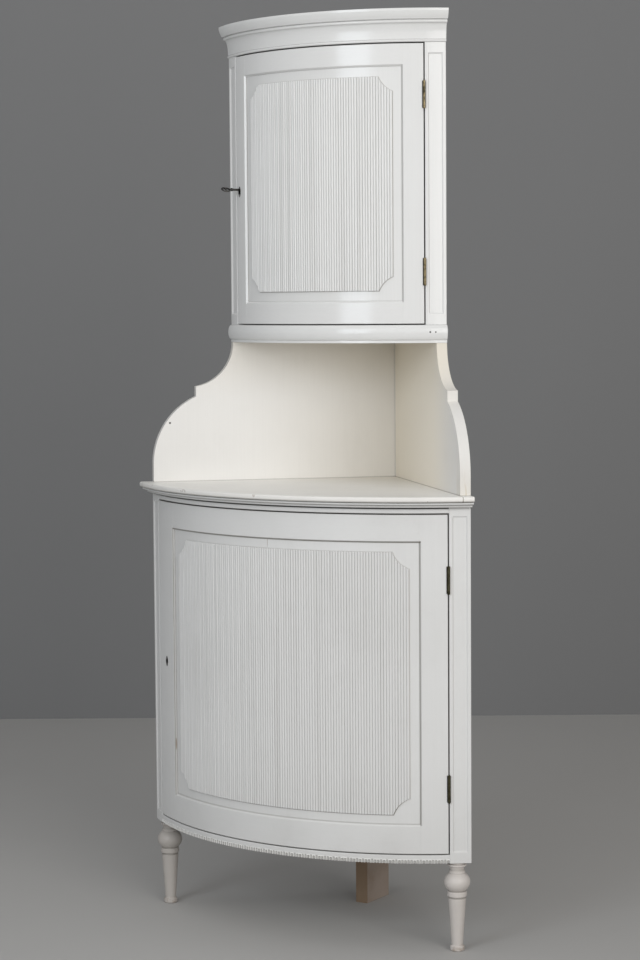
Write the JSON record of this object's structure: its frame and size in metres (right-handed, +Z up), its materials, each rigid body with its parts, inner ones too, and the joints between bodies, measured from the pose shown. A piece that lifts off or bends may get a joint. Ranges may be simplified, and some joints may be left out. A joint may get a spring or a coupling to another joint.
{
  "type": "corner cupboard",
  "caption": "Bow-fronted corner cupboard: a lower case with a hinged door under a counter, an open niche with shaped sides, and an upper case with a hinged door under a cornice.",
  "frame": {"origin": "middle of the footprint's bounding box, on the floor", "axes": "+Z up, front towards -Y, +X to the right seen from the front; the two wall faces lie at 45 degrees and meet at the rear on +Y"},
  "size_m": [0.917, 0.6274, 2.0999],
  "materials": {
    "upper_paint": "glossy off-white oil paint on softwood",
    "lower_paint": "satin grey-white oil paint on softwood, aged",
    "niche_paint": "satin cream-white oil paint on softwood",
    "leg_paint": "worn off-white paint on turned wood",
    "aged_brass": "tarnished brass with bright wear on the knuckles",
    "dark_iron": "blackened iron",
    "key_steel": "dull dark steel"
  },
  "bodies": {
    "case": {"lower_post_left": "lower_paint", "lower_post_right": "lower_paint", "lower_side_left": "lower_paint", "lower_side_right": "lower_paint", "lower_bottom_board": "lower_paint", "lower_bottom_rail": "lower_paint", "lower_top_rail": "lower_paint", "lower_shelf": "lower_paint", "lower_batten_left": "lower_paint", "lower_batten_right": "lower_paint", "counter_board": "lower_paint", "counter_moulding": "lower_paint", "front_leg_left": "leg_paint", "front_leg_right": "leg_paint", "back_leg": "leg_paint", "upper_side_left": "niche_paint", "upper_side_right": "niche_paint", "upper_post_left": "upper_paint", "upper_post_right": "upper_paint", "upper_bottom_board": "upper_paint", "upper_top_board": "upper_paint", "upper_shelf": "upper_paint", "upper_batten_left": "upper_paint", "upper_batten_right": "upper_paint", "upper_base_moulding": "upper_paint", "cornice": "upper_paint", "lower_hinge_top_post_leaf": "aged_brass", "lower_hinge_top_pin": "aged_brass", "lower_hinge_bottom_post_leaf": "aged_brass", "lower_hinge_bottom_pin": "aged_brass", "upper_hinge_top_post_leaf": "aged_brass", "upper_hinge_top_pin": "aged_brass", "upper_hinge_bottom_post_leaf": "aged_brass", "upper_hinge_bottom_pin": "aged_brass"},
    "lower_door": {"lower_door_stile_left": "lower_paint", "lower_door_stile_right": "lower_paint", "lower_door_rail_bottom": "lower_paint", "lower_door_rail_top": "lower_paint", "lower_door_panel": "lower_paint", "lower_hinge_top_door_leaf": "aged_brass", "lower_hinge_bottom_door_leaf": "aged_brass", "lower_lock_case": "dark_iron"},
    "lower_bolt": {"lower_lock_bolt": "key_steel"},
    "upper_door": {"upper_door_stile_left": "upper_paint", "upper_door_stile_right": "upper_paint", "upper_door_rail_bottom": "upper_paint", "upper_door_rail_top": "upper_paint", "upper_door_panel": "upper_paint", "upper_hinge_top_door_leaf": "aged_brass", "upper_hinge_bottom_door_leaf": "aged_brass", "upper_lock_case": "dark_iron"},
    "upper_bolt": {"upper_lock_bolt": "key_steel"},
    "key": {"upper_key": "key_steel"}
  },
  "joints": [
    {"name": "lower_door_swing", "type": "hinge", "parent": "case", "child": "lower_door", "pos_m": [0.39949, -0.15628, 0.6], "axis": [0, 0, 1], "range_deg": [0, 100]},
    {"name": "upper_door_swing", "type": "hinge", "parent": "case", "child": "upper_door", "pos_m": [0.26026, -0.01697, 1.71], "axis": [0, 0, 1], "range_deg": [0, 100]},
    {"name": "lower_bolt_slide", "type": "slide", "parent": "lower_door", "child": "lower_bolt", "axis": [-0.8493, 0.5279, 0], "range_m": [0, 0.009]},
    {"name": "key_turn", "type": "hinge", "parent": "upper_door", "child": "key", "pos_m": [-0.24372, -0.02331, 1.7134], "axis": [-0.5193, -0.8546, 0], "range_deg": [0, 180]},
    {"name": "upper_bolt_slide", "type": "slide", "parent": "upper_door", "child": "upper_bolt", "axis": [-0.8546, 0.5193, 0], "range_m": [0, 0.009]}
  ],
  "couplings": [
    {"joint": "upper_bolt_slide", "follows": "key_turn", "m_per_rad": 0.002864}
  ]
}
